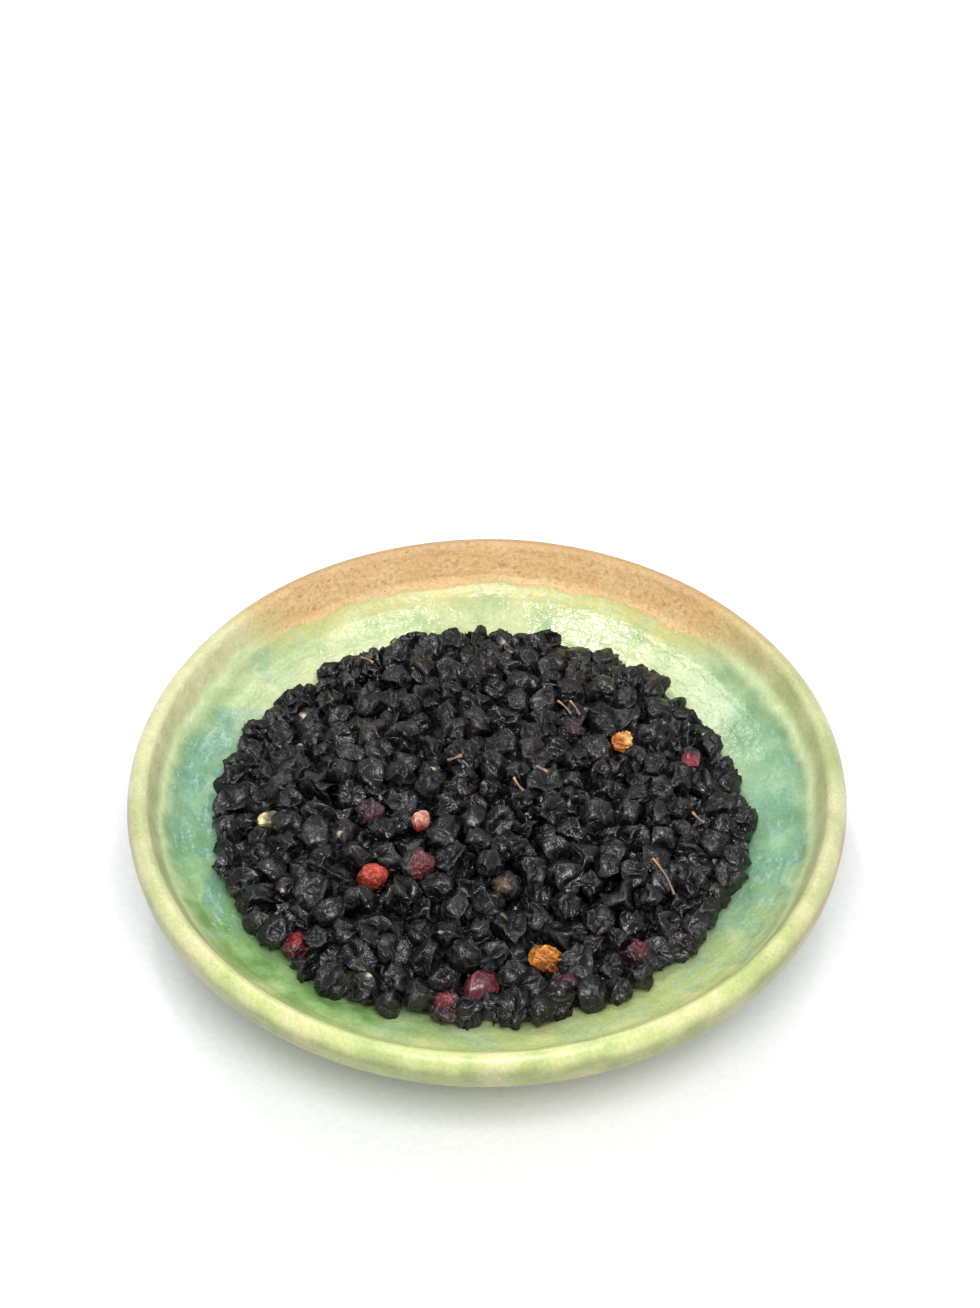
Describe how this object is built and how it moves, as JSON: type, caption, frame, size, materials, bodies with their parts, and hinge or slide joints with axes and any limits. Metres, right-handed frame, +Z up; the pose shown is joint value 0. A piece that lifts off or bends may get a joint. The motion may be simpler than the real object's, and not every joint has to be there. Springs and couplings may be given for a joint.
{
  "type": "dish of dried elderberries",
  "caption": "Small round footed earthenware dish, glazed green, holding a low heap of wrinkled dried black elderberries with a few red and amber ones and bits of stalk.",
  "frame": {"origin": "centre of the dish's foot ring, on the surface that it stands on", "axes": "+Z up along the dish's axis, -Y towards the side that the main view shows nearest, +X to its right"},
  "size_m": [0.11, 0.11, 0.0288],
  "materials": {
    "glazed_earthenware": "mottled leaf-green and turquoise gloss glaze, olive-cream on the lip, bare tan clay on the far rim",
    "black_berry_skin": "blue-black dried fruit skin, finely wrinkled, soft dull sheen",
    "scarlet_berry_skin": "bright red dried skin, wrinkled, slightly glossy",
    "rosy_berry_skin": "rosy to mauve dried skin, smooth and slightly glossy",
    "wine_berry_skin": "dark wine-red dried skin, wrinkled",
    "purple_brown_berry_skin": "purplish to brown dried skin, wrinkled",
    "amber_berry_skin": "amber to tan dried skin, deeply wrinkled",
    "pale_seed": "pale pink and olive seed coat, matt",
    "dry_stalk": "tan dry stalk, fibrous and matt"
  },
  "bodies": {
    "root": {"berry_brown": "purple_brown_berry_skin", "berry_crimson": "wine_berry_skin", "berry_edge_1": "black_berry_skin", "berry_edge_2": "black_berry_skin", "berry_edge_3": "black_berry_skin", "berry_edge_4": "black_berry_skin", "berry_edge_5": "black_berry_skin", "berry_edge_6": "black_berry_skin", "berry_edge_7": "black_berry_skin", "berry_edge_8": "black_berry_skin", "berry_garnet": "wine_berry_skin", "berry_maroon": "wine_berry_skin", "berry_mauve": "rosy_berry_skin", "berry_orange": "amber_berry_skin", "berry_plum": "wine_berry_skin", "berry_purple": "purple_brown_berry_skin", "berry_rose": "rosy_berry_skin", "berry_scarlet": "scarlet_berry_skin", "berry_tan": "amber_berry_skin", "berry_top_1": "black_berry_skin", "berry_top_10": "black_berry_skin", "berry_top_11": "black_berry_skin", "berry_top_12": "black_berry_skin", "berry_top_13": "black_berry_skin", "berry_top_14": "black_berry_skin", "berry_top_15": "black_berry_skin", "berry_top_16": "black_berry_skin", "berry_top_17": "black_berry_skin", "berry_top_18": "black_berry_skin", "berry_top_2": "black_berry_skin", "berry_top_3": "black_berry_skin", "berry_top_4": "black_berry_skin", "berry_top_5": "black_berry_skin", "berry_top_6": "black_berry_skin", "berry_top_7": "black_berry_skin", "berry_top_8": "black_berry_skin", "berry_top_9": "black_berry_skin", "berry_violet": "purple_brown_berry_skin", "berry_wine": "wine_berry_skin", "dish": "glazed_earthenware", "packed_berries": "black_berry_skin", "seed_olive": "pale_seed", "seed_pink": "pale_seed", "stalk_back": "dry_stalk", "stalk_chip": "dry_stalk", "stalk_crown": "dry_stalk", "stalk_fork_left": "dry_stalk", "stalk_fork_right": "dry_stalk", "stalk_left": "dry_stalk", "stalk_long": "dry_stalk", "stalk_right": "dry_stalk"}
  },
  "joints": []
}
